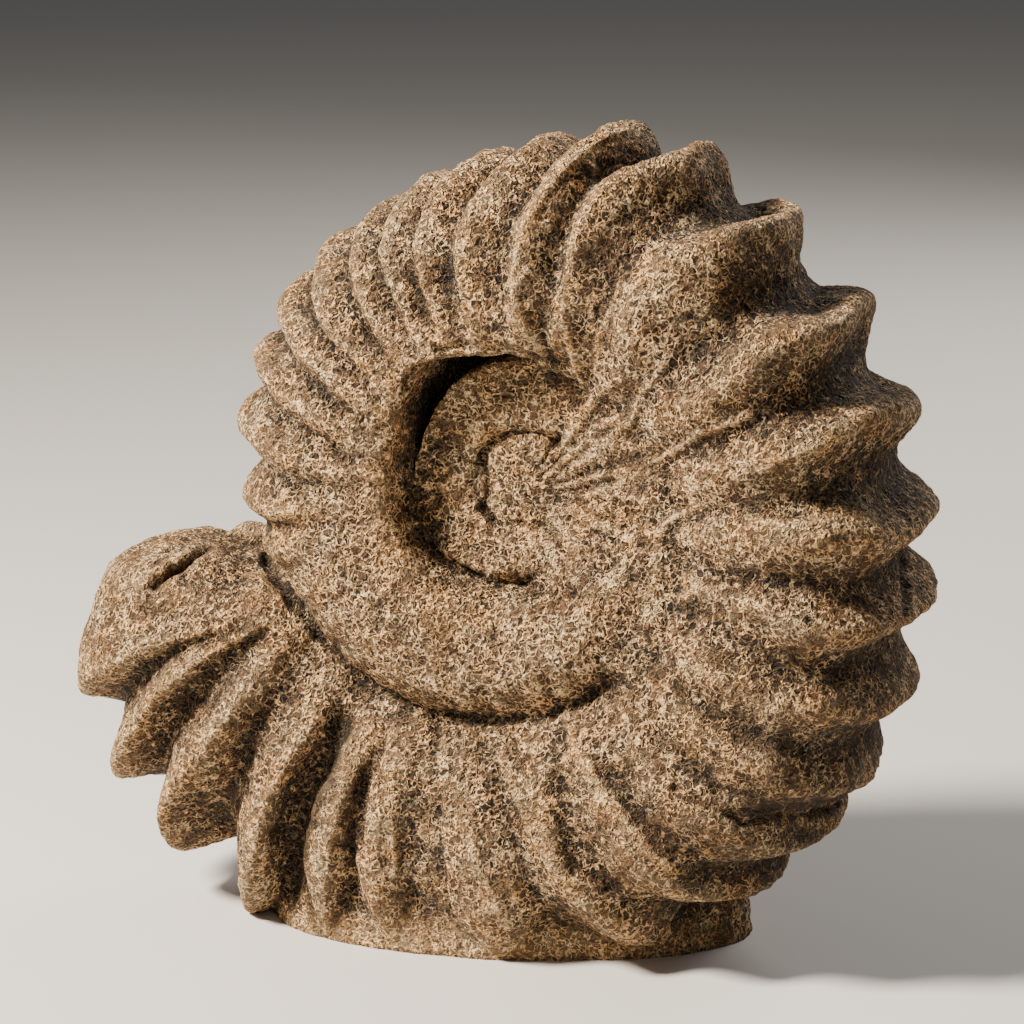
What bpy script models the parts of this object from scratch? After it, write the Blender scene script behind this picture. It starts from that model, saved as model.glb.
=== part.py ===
"""Fossil ammonite standing on a flat foot of its own stone.

Metres, +Z up. The coil lies in the XZ plane with its axis along Y, the
mouth to the left (-X) when seen from the front (-Y). The origin is the
middle of the flat underside of the foot.
"""
import math

import bmesh
import bpy
import numpy as np
from mathutils import Matrix

# ---- driving dimensions (metres unless the name says otherwise) ----
MM = 0.001
AXIS_HEIGHT = 0.1725        # coil axis above the underside of the foot
AXIS_OFFSET = 0.015         # coil axis to the right of the foot's middle
MOUTH_BEARING = 200.0       # degrees round the axis, counted from +X towards +Z
POINTS_ROUND = 18           # points round one whorl section

# The whorl at a number of turns back from the mouth: reach of the keel and of
# the inner seam from the axis, half width (all mm), where between seam and
# keel it is widest, and how square its inner wall is.
WHORL = (
    (-0.038, 126, 108, 14.0, 0.50, 2.0),
    (-0.032, 156, 104, 30.0, 0.50, 2.0),
    (-0.023, 176, 101, 39.0, 0.50, 2.1),
    (-0.010, 190, 96, 44.0, 0.50, 2.2),
    (0.006, 207, 91, 48.0, 0.50, 2.2),
    (0.022, 214, 88, 49.0, 0.50, 2.2),
    (0.042, 217, 86, 50.0, 0.50, 2.2),
    (0.072, 216, 85, 51.5, 0.51, 2.2),
    (0.104, 213, 85, 53.0, 0.52, 2.2),
    (0.160, 194, 79, 55.0, 0.54, 2.2),
    (0.210, 181, 74, 56.0, 0.55, 2.2),
    (0.280, 170, 65, 57.5, 0.60, 2.0),
    (0.340, 160, 55, 57.5, 0.62, 1.9),
    (0.400, 149, 44, 56.0, 0.65, 1.8),
    (0.460, 141, 37, 55.0, 0.65, 1.7),
    (0.520, 138, 34, 53.5, 0.62, 1.8),
    (0.580, 136, 36, 52.0, 0.60, 2.0),
    (0.650, 138, 42, 50.5, 0.55, 2.4),
    (0.710, 123, 45, 50.0, 0.50, 3.4),
    (0.770, 118, 46, 49.0, 0.48, 3.8),
    (0.830, 119, 45, 48.0, 0.45, 4.0),
    (0.900, 120, 43, 47.5, 0.45, 4.0),
    (0.960, 119, 42, 47.0, 0.45, 3.8),
    (1.020, 114, 40, 46.5, 0.48, 3.4),
    (1.080, 105, 39, 45.0, 0.50, 3.0),
    (1.210, 89, 34, 42.5, 0.50, 2.5),
    (1.340, 79, 27, 38.0, 0.50, 2.0),
    (1.460, 70, 22, 34.0, 0.50, 1.8),
    (1.580, 62, 21, 30.5, 0.50, 2.4),
    (1.720, 52, 21, 28.8, 0.50, 3.0),
    (1.900, 47, 18, 27.8, 0.50, 3.0),
    (2.060, 43, 15, 26.8, 0.50, 3.0),
    (2.220, 35, 10, 25.8, 0.50, 2.6),
    (2.460, 29, 6, 24.0, 0.50, 2.2),
    (2.710, 25, 3, 22.5, 0.50, 2.2),
    (2.960, 21, 2, 21.0, 0.50, 2.2),
)
OUTER_FULLNESS = 2.2        # squareness of the keel side of the section
SECTION_BLUR = 0.012        # turns over which the table above is smoothed

# Inner part of the lip: reach from the axis (mm), degrees it is set back.
LIP_STEP = ((110, 13.0), (123, 12.0), (137, 8.0), (155, 3.2), (178, 0.0))
LIP_RINGS = (-0.038, -0.033, -0.029)   # turns of the rings that round the lip over
LIP_STEP_END = 0.030        # turns back where the lip's set-back has died out
LIP_STEP_LENGTH = 0.070     # turns over which it dies out

# Ribs of the last whorl: turns back from the mouth of the crest on the keel,
# then how much further back it lies on the flank and at the inner seam.
RIBS = (
    (-0.018, 0.000, 0.000), (0.018, -0.008, -0.008), (0.045, -0.012, -0.016),
    (0.075, -0.018, -0.034), (0.112, -0.022, -0.044), (0.145, -0.029, -0.060),
    (0.170, -0.023, -0.046), (0.202, -0.015, -0.042), (0.247, -0.025, -0.050),
    (0.284, -0.019, -0.052), (0.310, -0.012, -0.040), (0.336, -0.008, -0.030),
    (0.366, -0.004, -0.026), (0.399, 0.001, -0.026), (0.434, 0.003, -0.027),
    (0.478, 0.005, -0.026), (0.520, 0.009, -0.024), (0.567, 0.018, -0.020),
    (0.609, 0.032, -0.004), (0.643, 0.040, 0.008), (0.679, 0.038, 0.012),
    (0.708, 0.042, 0.016), (0.738, 0.044, 0.020), (0.770, 0.038, 0.020),
    (0.806, 0.026, 0.020), (0.840, 0.020, 0.020), (0.875, 0.016, 0.020),
    (0.911, 0.015, 0.020), (0.951, 0.014, 0.018), (0.985, 0.012, 0.016),
)
STRAIGHT_ON_KEEL = 0.12     # share of the way round over which a rib runs straight
BEND_POWER = 4              # how sharply it starts to bend after that
# Rings from one crest to the next: share of the way, height of the stone there.
RIB_SHAPE = ((-0.15, 0.88), (0.08, 0.97), (0.34, 0.04), (0.56, 0.18))
# Depth of the valleys as a share of the keel's reach, along the turns.
RIB_DEPTH = (
    (-0.030, 0.01), (0.008, 0.03), (0.024, 0.09), (0.10, 0.10), (0.20, 0.078), (0.30, 0.065),
    (0.36, 0.085), (0.40, 0.095), (0.55, 0.10), (0.65, 0.085), (0.72, 0.062), (0.80, 0.05),
    (0.88, 0.07), (0.965, 0.08), (1.01, 0.015), (1.10, 0.006), (1.45, 0.015), (2.90, 0.03),
)
VALLEY_ON_INNER_WALL = 0.15 # share of the depth that runs on down to the seam
VALLEY_FADE_FROM = 0.75     # where round the section the valley starts to deepen,
VALLEY_FADE_SPAN = 1.3      # and over how much of the section it does
VALLEY_FADE_CURVE = 1.3
INNER_WALL_CUT = 0.3        # the valley's share that thins the inner wall
INNER_RING_STEP = 0.026     # turns between rings where the ribs are too fine
INNERMOST_RING_STEP = 0.045
INNER_TURNS = 1.9           # where the innermost step begins

CORE_REACH = 0.0220         # the plug that closes the middle of the coil
CORE_HALF_WIDTH = 0.0260
CORE_POINTS = 24

FOOT_HALF_LENGTH = 0.0915
FOOT_HALF_WIDTH = 0.0465
FOOT_SETBACK = 0.0030       # the foot's middle lies this far behind the coil's
FOOT_HEIGHT = 0.0220
FOOT_TURN = 14.0            # degrees, right end away from the front
FOOT_TOP_SHARE = 0.96       # the foot narrows towards its top
FOOT_POINTS = 40
FLOOR_CUT = (0.600, 0.400, 0.060)      # block that takes all stone below the foot

NODE = "ammonite"
OBJECT_NAME = "fossil ammonite"


def clear_scene():
    for item in list(bpy.data.objects):
        bpy.data.objects.remove(item)


def read_off(turns, table, column):
    """One column of a table, read between its rows."""
    rows = np.array(table, float)
    return float(np.interp(turns, rows[:, 0], rows[:, column]))


def along(turns, column):
    """Read one column of the whorl table, smoothed over a few degrees."""
    table = np.array(WHORL, float)
    steps = np.linspace(-SECTION_BLUR, SECTION_BLUR, 5)
    return float(np.interp(turns + steps, table[:, 0], table[:, column]).mean())


def whorl_ring(turns, rib_height):
    """Points round the whorl section at this many turns back from the mouth."""
    keel, seam, width, widest, inner_fullness = (along(turns, c) for c in range(1, 6))
    keel, seam, width = keel * MM, seam * MM, width * MM
    middle = seam + (keel - seam) * widest
    depth = read_off(turns, RIB_DEPTH, 1) * keel
    on_flank, at_seam = read_off(turns, RIBS, 1), read_off(turns, RIBS, 2)
    lip = min(max((LIP_STEP_END - turns) / LIP_STEP_LENGTH, 0.0), 1.0)
    valley = (1.0 - rib_height) * depth
    ring = []
    for number in range(POINTS_ROUND):
        angle = 2 * math.pi * number / POINTS_ROUND
        out, side = math.cos(angle), math.sin(angle)
        fullness = OUTER_FULLNESS if out >= 0 else inner_fullness
        size = (abs(out) ** fullness + abs(side) ** fullness) ** (1 / fullness)
        out, side = out / size, side / size
        fade = min(max((math.cos(angle) + VALLEY_FADE_FROM) / VALLEY_FADE_SPAN, 0.0), 1.0)
        deepest = VALLEY_ON_INNER_WALL + (1 - VALLEY_ON_INNER_WALL) * fade ** VALLEY_FADE_CURVE
        cut = valley * deepest
        if out >= 0:
            reach = middle + (keel - middle - cut) * out
        else:
            reach = middle + (middle - seam - INNER_WALL_CUT * cut) * out
        round_share = 1 - abs(1 - angle / math.pi)
        bent = (round_share ** BEND_POWER + STRAIGHT_ON_KEEL ** BEND_POWER) ** (1 / BEND_POWER)
        sweep = on_flank * 4 * bent * (1 - bent) + at_seam * bent * max(2 * bent - 1, 0.0)
        bearing = math.radians(MOUTH_BEARING + lip * read_off(reach / MM, LIP_STEP, 1))
        bearing += 2 * math.pi * (turns + sweep)
        ring.append((
            AXIS_OFFSET + reach * math.cos(bearing),
            -(width - cut) * side,
            AXIS_HEIGHT + reach * math.sin(bearing),
        ))
    return ring


def ring_stations():
    """Turns and rib height of each ring: four to a rib, then wider smooth steps."""
    stations = [(turns, 1.0) for turns in LIP_RINGS]
    crests = [rib[0] for rib in RIBS]
    for this_rib, next_rib in zip(crests, crests[1:]):
        gap = next_rib - this_rib
        stations += [(this_rib + gap * share, height) for share, height in RIB_SHAPE]
    turns = crests[-1]
    while turns < WHORL[-1][0]:
        stations.append((turns, 1.0))
        turns += INNER_RING_STEP if turns < INNER_TURNS else INNERMOST_RING_STEP
    return stations


def new_object(name, mesh_builder, collection):
    mesh = bpy.data.meshes.new(name)
    shape = bmesh.new()
    mesh_builder(shape)
    bmesh.ops.recalc_face_normals(shape, faces=shape.faces)
    shape.to_mesh(mesh)
    shape.free()
    item = bpy.data.objects.new(name, mesh)
    collection.objects.link(item)
    return item


def build_coil(shape):
    """Loft between the unlike sections of the growing whorl."""
    rings = [[shape.verts.new(p) for p in whorl_ring(*s)] for s in ring_stations()]
    for ring, following in zip(rings, rings[1:]):
        for number in range(POINTS_ROUND):
            after = (number + 1) % POINTS_ROUND
            shape.faces.new((ring[number], ring[after], following[after], following[number]))
    for ring in (rings[0], rings[-1]):
        end = shape.faces.new(ring)
        bmesh.ops.poke(shape, faces=[end])


def build_core(shape):
    bmesh.ops.create_cone(
        shape, cap_ends=True, segments=CORE_POINTS, radius1=CORE_REACH, radius2=CORE_REACH,
        depth=2 * CORE_HALF_WIDTH,
    )
    upright = Matrix.Rotation(math.radians(90), 4, "X")
    bmesh.ops.transform(shape, matrix=upright, verts=shape.verts)
    bmesh.ops.translate(shape, verts=shape.verts, vec=(AXIS_OFFSET, 0.0, AXIS_HEIGHT))


def build_foot(shape):
    made = bmesh.ops.create_circle(shape, cap_ends=True, segments=FOOT_POINTS, radius=1.0)
    bmesh.ops.scale(shape, verts=made["verts"], vec=(FOOT_HALF_LENGTH, FOOT_HALF_WIDTH, 1.0))
    grown = bmesh.ops.extrude_face_region(shape, geom=shape.faces[:])
    top = [v for v in grown["geom"] if isinstance(v, bmesh.types.BMVert)]
    bmesh.ops.translate(shape, verts=top, vec=(0.0, 0.0, FOOT_HEIGHT))
    bmesh.ops.scale(shape, verts=top, vec=(FOOT_TOP_SHARE, FOOT_TOP_SHARE, 1.0))
    turned = math.radians(FOOT_TURN)
    for point in shape.verts:
        x, y = point.co.x, point.co.y
        point.co.x = x * math.cos(turned) - y * math.sin(turned)
        point.co.y = x * math.sin(turned) + y * math.cos(turned) + FOOT_SETBACK


def build_floor_cutter(shape):
    bmesh.ops.create_cube(shape, size=1.0)
    bmesh.ops.scale(shape, verts=shape.verts, vec=FLOOR_CUT)
    bmesh.ops.translate(shape, verts=shape.verts, vec=(0.0, 0.0, -FLOOR_CUT[2] / 2))


def join_shape(item, other, operation):
    step = item.modifiers.new(other.name, "BOOLEAN")
    step.operation = operation
    step.solver = "EXACT"
    step.use_self = operation == "UNION"
    step.object = other


def stone_material():
    material = bpy.data.materials.new("weathered brown stone")
    material.use_nodes = True
    surface = material.node_tree.nodes["Principled BSDF"]
    surface.inputs["Base Color"].default_value = (0.25, 0.17, 0.11, 1.0)
    surface.inputs["Roughness"].default_value = 0.85
    surface.inputs["Metallic"].default_value = 0.0
    return material


def main():
    clear_scene()
    visible = bpy.data.collections.new(OBJECT_NAME)
    cutters = bpy.data.collections.new("cutters")
    bpy.context.scene.collection.children.link(visible)
    bpy.context.scene.collection.children.link(cutters)

    ammonite = new_object(NODE, build_coil, visible)
    ammonite.data.materials.append(stone_material())
    core = new_object("core plug", build_core, cutters)
    foot = new_object("foot block", build_foot, cutters)
    floor = new_object("floor cut", build_floor_cutter, cutters)
    for helper in (core, foot, floor):
        helper.hide_render = True
        helper.display_type = "WIRE"
    join_shape(ammonite, core, "UNION")
    join_shape(ammonite, foot, "UNION")
    join_shape(ammonite, floor, "DIFFERENCE")


main()
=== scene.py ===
import math

import bpy
import numpy as np
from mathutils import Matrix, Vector


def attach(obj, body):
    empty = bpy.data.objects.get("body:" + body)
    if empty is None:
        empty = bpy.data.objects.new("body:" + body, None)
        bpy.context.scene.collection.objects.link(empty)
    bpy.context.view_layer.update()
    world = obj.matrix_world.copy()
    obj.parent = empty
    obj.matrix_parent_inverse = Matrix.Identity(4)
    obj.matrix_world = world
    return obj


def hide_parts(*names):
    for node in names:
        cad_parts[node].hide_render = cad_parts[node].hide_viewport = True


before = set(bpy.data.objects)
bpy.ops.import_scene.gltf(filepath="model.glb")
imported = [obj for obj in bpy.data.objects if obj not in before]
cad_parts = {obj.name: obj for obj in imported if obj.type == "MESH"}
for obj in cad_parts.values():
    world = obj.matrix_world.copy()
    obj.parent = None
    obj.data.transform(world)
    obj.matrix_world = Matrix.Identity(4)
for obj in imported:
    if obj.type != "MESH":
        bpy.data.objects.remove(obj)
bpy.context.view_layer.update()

MM = 0.001

# ---- the coil, in the frame's own metres ----
COIL_AXIS = Vector((0.015, 0.0, 0.1725))    # where the coil's axis crosses its middle plane
MOUTH_BEARING = 200.0                       # degrees round the axis, from +X towards +Z
RINGS_LAST_WHORL = 1150
RINGS_INNER = 700
LAST_WHORL_END = 1.02
POINTS_ROUND = 200

# turns back from the mouth: keel reach, seam reach, half width (mm), where between
# seam and keel it is widest, squareness of the inner wall and of the keel
WHORL = np.array((
    (-0.040, 122, 110, 10.0, 0.50, 2.0, 2.2),
    (-0.035, 150, 106, 26.0, 0.50, 2.0, 2.2),
    (-0.025, 172, 102, 38.0, 0.50, 2.1, 2.2),
    (-0.011, 188, 99, 44.0, 0.50, 2.2, 2.2),
    (0.006, 207, 96, 48.0, 0.50, 2.2, 2.2),
    (0.022, 215, 94, 49.0, 0.50, 2.2, 2.2),
    (0.042, 218, 92, 50.0, 0.50, 2.2, 2.2),
    (0.072, 216, 89, 51.5, 0.51, 2.2, 2.2),
    (0.104, 214, 85, 53.0, 0.52, 2.2, 2.2),
    (0.120, 208, 82, 53.6, 0.52, 2.2, 2.2),
    (0.160, 194, 78, 55.0, 0.54, 2.2, 2.2),
    (0.210, 181, 73, 56.0, 0.55, 2.2, 2.2),
    (0.280, 170, 64, 57.5, 0.60, 2.0, 2.2),
    (0.340, 160, 54, 57.5, 0.62, 1.9, 2.2),
    (0.400, 149, 44, 56.0, 0.65, 1.8, 2.2),
    (0.460, 141, 37, 55.0, 0.65, 1.7, 2.2),
    (0.520, 138, 34, 53.5, 0.62, 1.8, 2.2),
    (0.580, 136, 36, 52.0, 0.60, 2.0, 2.2),
    (0.650, 138, 40, 50.5, 0.55, 2.4, 2.2),
    (0.710, 123, 45, 50.0, 0.50, 4.0, 2.2),
    (0.770, 118, 46, 49.0, 0.48, 5.0, 2.2),
    (0.830, 119, 44, 48.0, 0.45, 5.5, 2.2),
    (0.900, 120, 42, 47.5, 0.45, 5.5, 2.2),
    (0.960, 119, 40, 47.0, 0.45, 5.0, 2.2),
    (0.985, 115, 40, 46.8, 0.46, 4.8, 2.2),
    (1.000, 109, 39, 46.7, 0.47, 4.6, 2.2),
    (1.020, 105, 39, 46.5, 0.48, 4.5, 2.2),
    (1.045, 104, 38, 46.0, 0.49, 4.3, 2.2),
    (1.080, 103, 38, 45.0, 0.50, 4.0, 2.2),
    (1.210, 89, 34, 42.5, 0.50, 2.6, 2.2),
    (1.340, 79, 27, 38.0, 0.50, 2.0, 2.2),
    (1.460, 70, 22, 34.0, 0.50, 1.8, 2.4),
    (1.580, 62, 21, 30.5, 0.50, 2.6, 2.8),
    (1.670, 56, 21.0, 29.3, 0.50, 4.5, 4.0),
    (1.725, 52.5, 21, 28.8, 0.50, 5.5, 5.0),
    (1.800, 50, 20, 28.3, 0.50, 6.0, 5.0),
    (1.860, 48, 19, 28.0, 0.50, 6.0, 5.0),
    (1.908, 47, 18, 27.8, 0.50, 6.0, 5.0),
    (2.000, 45, 17, 27.2, 0.50, 6.0, 5.0),
    (2.064, 43, 15, 26.8, 0.50, 6.0, 5.0),
    (2.114, 40, 13, 26.5, 0.50, 5.0, 5.0),
    (2.167, 37, 12, 26.2, 0.50, 4.0, 4.0),
    (2.225, 35, 10, 25.8, 0.50, 3.0, 3.0),
    (2.286, 33, 9, 25.4, 0.50, 2.4, 3.0),
    (2.460, 29, 6, 24.0, 0.50, 2.2, 3.0),
    (2.710, 25, 3, 22.5, 0.50, 2.2, 3.0),
    (2.960, 21, 2, 21.0, 0.50, 2.2, 3.0),
))
# the wide dark gap inside the last whorl: turns back, reach (mm) its inner shoulder keeps clear of
GAP = np.array((
    (0.63, 0), (0.665, 50), (0.70, 52), (0.755, 55), (0.79, 57), (0.82, 53), (0.86, 47),
    (0.90, 43), (1.02, 40), (1.10, 36), (1.12, 0),
))
# mm off the middle plane where the shoulder starts to keep clear, and where it does so fully
GAP_FROM, GAP_FULL = 20.0, 30.0
SECTION_BLUR = 0.014        # turns either way over which a whorl's sizes are averaged
BLUR_STEPS = 9
# reach (mm), how far round the inner part of the lip is set back (degrees)
LIP_STEP = np.array(((110, 16.0), (123, 15.0), (137, 9.5), (155, 3.6), (168, 1.6), (178, 0.0)))
LIP_STEP_TO, LIP_STEP_SPAN = 0.03, 0.07     # turns back where the setback ends, and its run
# the knob behind the lip
LUMP_PLACE = Vector((-0.114, 0.018, 0.1335))
LUMP_SIZE = (0.0105, 0.0100, 0.0080)

# ---- ribs ----
# turns back to the crest on the keel, how much further round it lies on the flank and at
# the seam, how narrow the crest is, how strong the rib is
RIBS = np.array((
    (-0.018, 0.000, 0.000, 1.0, 1.0), (0.018, -0.012, -0.045, 0.8, 0.9),
    (0.0455, -0.016, -0.062, 0.9, 1.0), (0.075, -0.021, -0.054, 1.0, 1.1),
    (0.112, -0.022, -0.046, 1.1, 1.4), (0.145, -0.029, -0.065, 0.7, 0.9),
    (0.170, -0.023, -0.046, 0.7, 0.8), (0.202, -0.015, -0.042, 0.9, 1.0),
    (0.247, -0.025, -0.050, 1.0, 1.0), (0.284, -0.019, -0.052, 1.4, 0.9),
    (0.310, -0.012, -0.040, 1.0, 0.6), (0.336, -0.008, -0.030, 1.0, 0.7),
    (0.366, -0.004, -0.026, 0.9, 0.8), (0.399, 0.001, -0.026, 1.0, 1.0),
    (0.434, 0.003, -0.027, 0.9, 1.0), (0.478, 0.005, -0.026, 1.0, 1.0),
    (0.520, 0.009, -0.024, 1.1, 1.1), (0.567, 0.018, -0.020, 1.1, 1.1),
    (0.609, 0.032, -0.004, 1.1, 1.1), (0.643, 0.040, 0.008, 1.0, 1.0),
    (0.679, 0.038, 0.012, 1.0, 1.0), (0.708, 0.042, 0.016, 0.9, 1.0),
    (0.738, 0.044, 0.020, 0.9, 1.0), (0.770, 0.038, 0.020, 0.8, 0.9),
    (0.806, 0.026, 0.020, 0.8, 1.0), (0.840, 0.020, 0.020, 0.8, 1.0),
    (0.875, 0.016, 0.020, 0.8, 1.0), (0.911, 0.015, 0.020, 0.8, 1.1),
    (0.951, 0.014, 0.018, 0.9, 1.1), (0.985, 0.012, 0.016, 0.8, 0.7),
))
# the small ribs of the inner whorls: the same values after the first, and the turns between two
INNER_RIB = (0.008, 0.010, 1.1, 1.0)
INNER_RIB_GAP = 0.028
RIBS_PAST_END = 0.1
# turns: valley depth as a share of the keel's reach, on the keel and on the flank
RIB_DEPTH = np.array((
    (-0.040, 0.01, 0.004), (0.008, 0.02, 0.012), (0.024, 0.090, 0.050), (0.10, 0.098, 0.056),
    (0.20, 0.078, 0.040), (0.30, 0.065, 0.028), (0.36, 0.085, 0.034), (0.40, 0.095, 0.052),
    (0.55, 0.100, 0.056), (0.65, 0.085, 0.042), (0.72, 0.062, 0.036), (0.80, 0.050, 0.032),
    (0.88, 0.075, 0.026), (0.965, 0.090, 0.018), (0.990, 0.030, 0.010), (1.01, 0.010, 0.006),
    (1.10, 0.006, 0.004),
    (1.30, 0.006, 0.006), (1.45, 0.015, 0.015), (1.70, 0.016, 0.016), (2.0, 0.016, 0.016),
    (2.3, 0.02, 0.02), (2.9, 0.03, 0.03),
))
# a valley's depth across the section: where it starts (1 is the keel, -1 the seam), how far
# it takes to reach its full depth, and the curve of the keel's share
KEEL_CUT_FROM, KEEL_CUT_SPAN, KEEL_CUT_CURVE = -0.22, 1.12, 1.1
FLANK_CUT_FROM, FLANK_CUT_SPAN = -0.95, 0.9
INNER_WALL_CUT = 0.3        # share of a valley's depth that is cut into the inner wall
KEEL_SWEEP = 0.003          # turns by which a rib bows between keel and flank
STRAIGHT_ON_KEEL = 0.12     # share of the way round over which a rib runs straight across the keel
BEND_POWER = 4
# waves in the run of a rib: size as a share of the gap between ribs, then how fast a wave
# changes round the section and from rib to rib (radians)
RIB_WAVES = ((0.05, 2.3, 1.9), (0.03, 5.1, 3.1))
FACET_REACH = 1.08          # fall of a faceted crest's slopes, as a share of the rib's height
FACET_EASE = 0.04           # squared width over which the top of a faceted crest is rounded
FLANK_ROUNDED = 0.4         # how rounded a crest is on the flank
# turns, how much sharper the crest grows on the keel, how rounded it is there
KEEL_CREST = np.array((
    (0.0, 0.7, 0.2), (0.25, 0.7, 0.3), (0.50, 1.0, 0.6), (0.60, 0.5, 1.0), (0.65, -0.3, 1.0),
    (0.85, -0.3, 1.0), (0.90, 0.3, 0.8), (1.0, 0.3, 0.8),
))
# turns, how far along from one crest to the next one back the valley lies
VALLEY_AT = np.array((
    (0.0, 0.37), (0.30, 0.40), (0.50, 0.42), (0.62, 0.36), (0.72, 0.32), (0.85, 0.34),
    (1.0, 0.42),
))

# ---- the fan of fine ribs that closes the hollow on one side ----
# reach from the axis, face height (mm)
FAN_RISE = np.array((
    (0, 21.5), (6, 22.5), (20, 26.5), (35, 32.0), (50, 36.0), (60, 37.5), (72, 39.0), (90, 41.0),
))
FAN_FROM, FAN_TO = -94.0, 72.0      # bearings in degrees
FAN_FADE = 45.0                     # degrees from either end over which the face sinks away
FAN_SINK = 14.0
FAN_REACH = 90.0
FAN_RINGS, FAN_SPOKES = 90, 260     # points outwards and round
FAN_THICKNESS = 0.012
# the face drops away over the gap below it: depth (mm), reach where it starts and the run of
# the drop (mm), bearing where it starts and its run there (degrees)
FAN_DROP = 14
FAN_DROP_REACH, FAN_DROP_RUN = 68, 10
FAN_DROP_BEARING, FAN_DROP_TURN = -52, 14
FAN_RIB_HEIGHT = 1.3
FAN_RIB_SHARPNESS = 2.2
FAN_RIB_FLOOR = 0.25                # share of a rib's height that is cut below the face between ribs
# waves in the run of a fine rib: degrees, then mm of reach and degrees of bearing per radian
# (a wave with no end to its degrees changes with the reach alone)
FAN_RIB_WAVES = ((2.5, 8.0, math.inf), (1.0, 3.1, 9.0))
FAN_RIB_UNEVEN = (0.35, 2.3, 0.4)   # how unequal the ribs are, and the wave that picks them
# mm from the axis where they start, mm over which they rise and run out, degrees past the
# fan's end where the last one fades, and the degrees of that fade
FAN_RIB_FROM, FAN_RIB_RUN_IN, FAN_RIB_RUN_OUT = 2, 14, 12
FAN_RIB_PAST_END, FAN_RIB_END_FADE = 2, 12
FAN_RIB_OFF = -12                   # mm off the middle plane beyond which the ribs are raised
# bearing of each fine rib, and how far out it runs (mm)
FAN_RIBS = np.array((
    (-70, 40), (-62, 40), (-53, 41), (-44, 42), (-35, 42), (-26, 44), (-17, 50), (-7, 58),
    (3, 60), (14, 62), (26, 64), (38, 66), (51, 66), (64, 62),
))
# where the turns are blended into one face: reach and its fade (m), middle bearing, half
# breadth and its fade (degrees); the last line is the part below that keeps its crease
SOFTEN_REACH, SOFTEN_FADE = 0.086, 0.01
SOFTEN_BEARING, SOFTEN_HALF, SOFTEN_TURN = -3, 80, 20
SOFTEN_STEPS = 14
SOFTEN_LEVELS = 5
CREASE_REACH, CREASE_RUN, CREASE_BEARING, CREASE_TURN = 0.070, 0.006, -52, 12
# the deep groove round the rim of the inner disc: turns back, rim reach (mm)
RIM = np.array((
    (1.60, 53), (1.725, 49.5), (1.80, 47), (1.908, 43.5), (2.0, 42), (2.064, 40), (2.114, 37),
    (2.167, 34), (2.225, 32), (2.286, 29),
))
RIM_GROOVE = 16.0
# the groove in mm: least breadth, how far inside the rim it starts, the run of its two sides;
# how far off the middle plane it ends, the run there, and where the other flank starts
GROOVE_BREADTH, GROOVE_INSIDE, GROOVE_RIM_RUN, GROOVE_FAR_RUN = 8, 1.5, 2.5, 3
GROOVE_OFF, GROOVE_OFF_RUN, GROOVE_LEVEL = -42, 8, -6
# turns back where the groove starts and ends, with the run at each end
GROOVE_FROM, GROOVE_FROM_RUN, GROOVE_TO, GROOVE_TO_RUN = 1.60, 0.16, 2.13, 0.10
GROOVE_FIRST_TURN = 1.5
GAP_SHADE = 1.6             # how strongly the deep gap is darkened

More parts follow.
